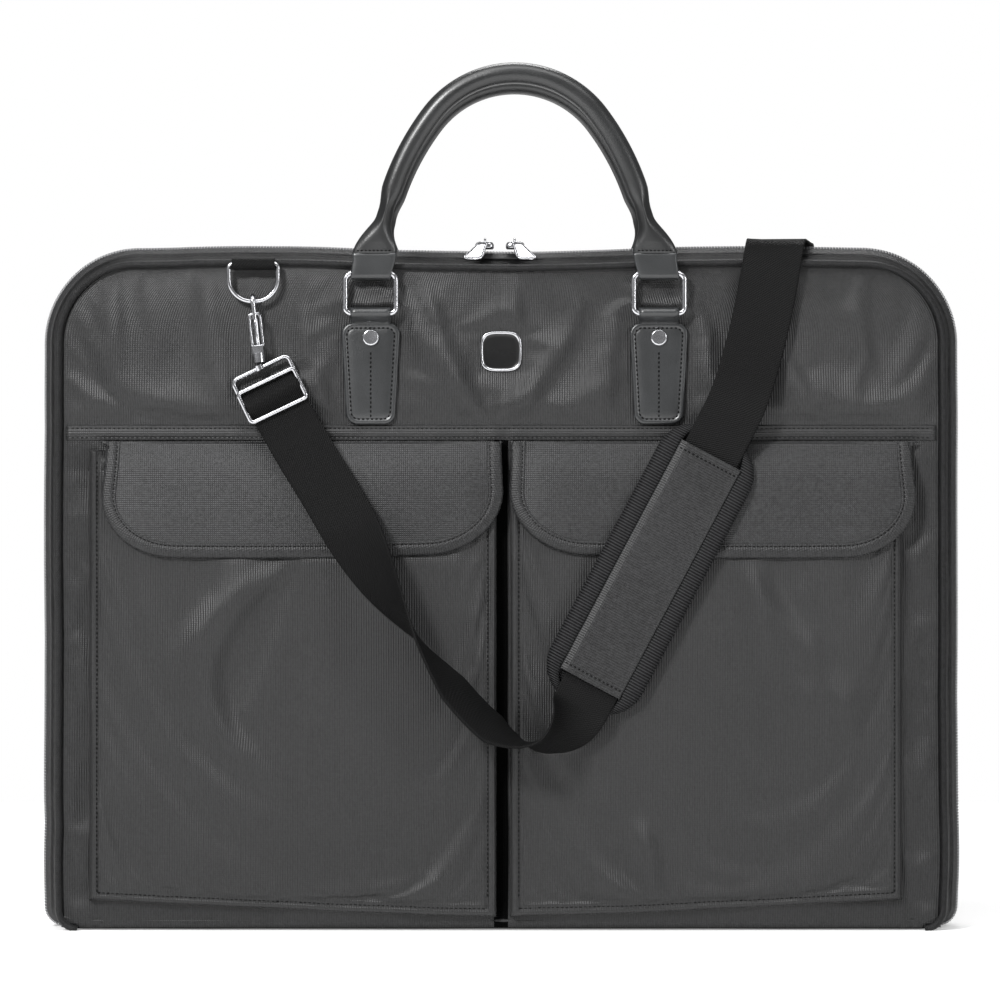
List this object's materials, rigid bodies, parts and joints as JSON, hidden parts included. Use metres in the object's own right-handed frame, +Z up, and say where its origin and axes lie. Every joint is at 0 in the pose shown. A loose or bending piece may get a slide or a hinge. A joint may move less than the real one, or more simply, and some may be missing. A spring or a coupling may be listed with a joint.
{
  "type": "garment bag",
  "caption": "Folded two-half suit carrier in dark nylon with leather grips, patch pockets under flaps, a padded shoulder strap and a zip round three sides.",
  "frame": {"origin": "middle of the folded bottom edge that the bag stands on", "axes": "+X along the width, to the right seen from the front; -Y is the pocket side; +Z up towards the handles"},
  "size_m": [0.6, 0.1315, 0.566],
  "materials": {
    "nylon": "satin twill",
    "webbing": "matte ribbed",
    "binding": "matte ribbed",
    "piping": "satin",
    "zip_tape": "satin",
    "lining": "smooth",
    "foam": "matte",
    "leather": "semi-gloss",
    "nickel": "polished",
    "badge": "gloss",
    "plastic": "matte"
  },
  "bodies": {
    "rear_half": {"rear_shell": "nylon", "rear_yoke_band": "nylon", "rear_padding": "foam", "rear_lining": "lining", "rear_piping": "piping", "rear_zip": "zip_tape", "rear_tab_left": "leather", "rear_tab_right": "leather", "rear_rivets": "nickel", "rear_dring_loop": "webbing", "bottom_panel": "nylon", "hanger_ring": "nickel", "hanger_loop": "webbing", "garment_strap": "webbing", "garment_buckle": "plastic"},
    "front_half": {"front_shell": "nylon", "front_yoke_band": "nylon", "front_padding": "foam", "front_lining": "lining", "front_piping": "piping", "front_zip": "zip_tape", "front_tab_left": "leather", "front_tab_right": "leather", "front_rivets": "nickel", "front_dring_loop": "webbing", "left_pocket": "nylon", "right_pocket": "nylon", "plaque": "badge", "strap_front_run": "webbing", "strap_rear_run": "webbing", "pad_foam": "binding", "pad_cover": "nylon"},
    "left_flap": {"left_flap": "nylon", "left_flap_binding": "binding"},
    "right_flap": {"right_flap": "nylon", "right_flap_binding": "binding"},
    "slider_left": {"slider_left": "nickel"},
    "slider_right": {"slider_right": "nickel"},
    "pull_left": {"pull_left": "nickel"},
    "pull_right": {"pull_right": "nickel"},
    "front_dring": {"front_dring": "nickel", "front_bracket": "nickel"},
    "front_hook": {"front_hook": "nickel"},
    "front_gate": {"front_gate": "nickel"},
    "adjuster": {"adjuster_frame": "nickel", "adjuster_bar": "nickel"},
    "rear_dring": {"rear_dring": "nickel", "rear_bracket": "nickel"},
    "rear_hook": {"rear_hook": "nickel"},
    "rear_gate": {"rear_gate": "nickel"},
    "front_ring_left": {"front_ring_left": "nickel"},
    "front_ring_right": {"front_ring_right": "nickel"},
    "front_handle": {"front_grip": "leather", "front_grip_end_left": "leather", "front_grip_end_right": "leather"},
    "rear_ring_left": {"rear_ring_left": "nickel"},
    "rear_ring_right": {"rear_ring_right": "nickel"},
    "rear_handle": {"rear_grip": "leather", "rear_grip_end_left": "leather", "rear_grip_end_right": "leather"}
  },
  "joints": [
    {"name": "fold", "type": "hinge", "parent": "rear_half", "child": "front_half", "pos_m": [0, -0.033, 0], "axis": [1, 0, 0], "range_deg": [0, 90], "deforming": ["bottom_panel", "strap_front_run", "strap_rear_run", "pad_foam", "pad_cover"]},
    {"name": "left_flap_lift", "type": "hinge", "parent": "front_half", "child": "left_flap", "pos_m": [-0.13, -0.038, 0.3182], "axis": [-1, 0, 0], "range_deg": [0, 90]},
    {"name": "right_flap_lift", "type": "hinge", "parent": "front_half", "child": "right_flap", "pos_m": [0.139, -0.038, 0.3182], "axis": [-1, 0, 0], "range_deg": [0, 90]},
    {"name": "left_slider_run", "type": "slide", "parent": "rear_half", "child": "slider_left", "axis": [-1, 0, 0], "range_m": [0, 0.19]},
    {"name": "right_slider_run", "type": "slide", "parent": "rear_half", "child": "slider_right", "axis": [1, 0, 0], "range_m": [0, 0.12]},
    {"name": "left_pull_lift", "type": "hinge", "parent": "slider_left", "child": "pull_left", "pos_m": [-0.0105, -0.0014, 0.45165], "axis": [-0.9877, 0.1564, 0], "range_deg": [0, 200]},
    {"name": "right_pull_lift", "type": "hinge", "parent": "slider_right", "child": "pull_right", "pos_m": [0.009, -0.0014, 0.45165], "axis": [-0.9877, -0.1564, 0], "range_deg": [0, 200]},
    {"name": "front_dring_swing", "type": "hinge", "parent": "front_half", "child": "front_dring", "pos_m": [-0.1614, -0.0398, 0.4347], "axis": [-1, 0, 0], "range_deg": [0, 90], "deforming": ["strap_front_run"]},
    {"name": "front_hook_swivel", "type": "hinge", "parent": "front_dring", "child": "front_hook", "pos_m": [-0.1614, -0.0398, 0.4095], "axis": [-0.1045, 0, 0.9945], "range_deg": [-10, 10]},
    {"name": "front_gate_press", "type": "hinge", "parent": "front_hook", "child": "front_gate", "pos_m": [-0.15858, -0.0443, 0.38265], "axis": [-0.9945, 0, -0.1045], "range_deg": [0, 20], "stiffness_Nm_per_rad": 0.02, "springref_deg": -5.73},
    {"name": "adjuster_slide", "type": "slide", "parent": "front_dring", "child": "adjuster", "axis": [0.4305, 0, -0.9026], "range_m": [0, 0.055]},
    {"name": "rear_dring_swing", "type": "hinge", "parent": "rear_half", "child": "rear_dring", "pos_m": [0.193, 0.0398, 0.331], "axis": [-1, 0, 0], "range_deg": [0, 20], "deforming": ["strap_rear_run"]},
    {"name": "rear_hook_swivel", "type": "hinge", "parent": "rear_dring", "child": "rear_hook", "pos_m": [0.193, 0.0398, 0.3562], "axis": [0, 0, 1], "range_deg": [-10, 10]},
    {"name": "rear_gate_press", "type": "hinge", "parent": "rear_hook", "child": "rear_gate", "pos_m": [0.193, 0.0443, 0.3832], "axis": [-1, 0, 0], "range_deg": [0, 20], "stiffness_Nm_per_rad": 0.02, "springref_deg": -5.73},
    {"name": "front_left_ring_swing", "type": "hinge", "parent": "front_half", "child": "front_ring_left", "pos_m": [-0.085, -0.041, 0.4026], "axis": [1, 0, 0], "range_deg": [0, 90]},
    {"name": "front_right_ring_swing", "type": "hinge", "parent": "front_half", "child": "front_ring_right", "pos_m": [0.103, -0.041, 0.4026], "axis": [1, 0, 0], "range_deg": [0, 90]},
    {"name": "front_handle_swing", "type": "hinge", "parent": "front_ring_left", "child": "front_handle", "pos_m": [-0.085, -0.041, 0.4282], "axis": [1, 0, 0], "range_deg": [-8, 20]},
    {"name": "rear_left_ring_swing", "type": "hinge", "parent": "rear_half", "child": "rear_ring_left", "pos_m": [-0.085, 0.041, 0.4026], "axis": [-1, 0, 0], "range_deg": [0, 90]},
    {"name": "rear_right_ring_swing", "type": "hinge", "parent": "rear_half", "child": "rear_ring_right", "pos_m": [0.103, 0.041, 0.4026], "axis": [-1, 0, 0], "range_deg": [0, 90]},
    {"name": "rear_handle_swing", "type": "hinge", "parent": "rear_ring_left", "child": "rear_handle", "pos_m": [-0.085, 0.041, 0.4282], "axis": [-1, 0, 0], "range_deg": [-8, 20]}
  ],
  "couplings": [
    {"joint": "front_right_ring_swing", "follows": "front_left_ring_swing", "ratio": 1},
    {"joint": "rear_right_ring_swing", "follows": "rear_left_ring_swing", "ratio": 1}
  ]
}
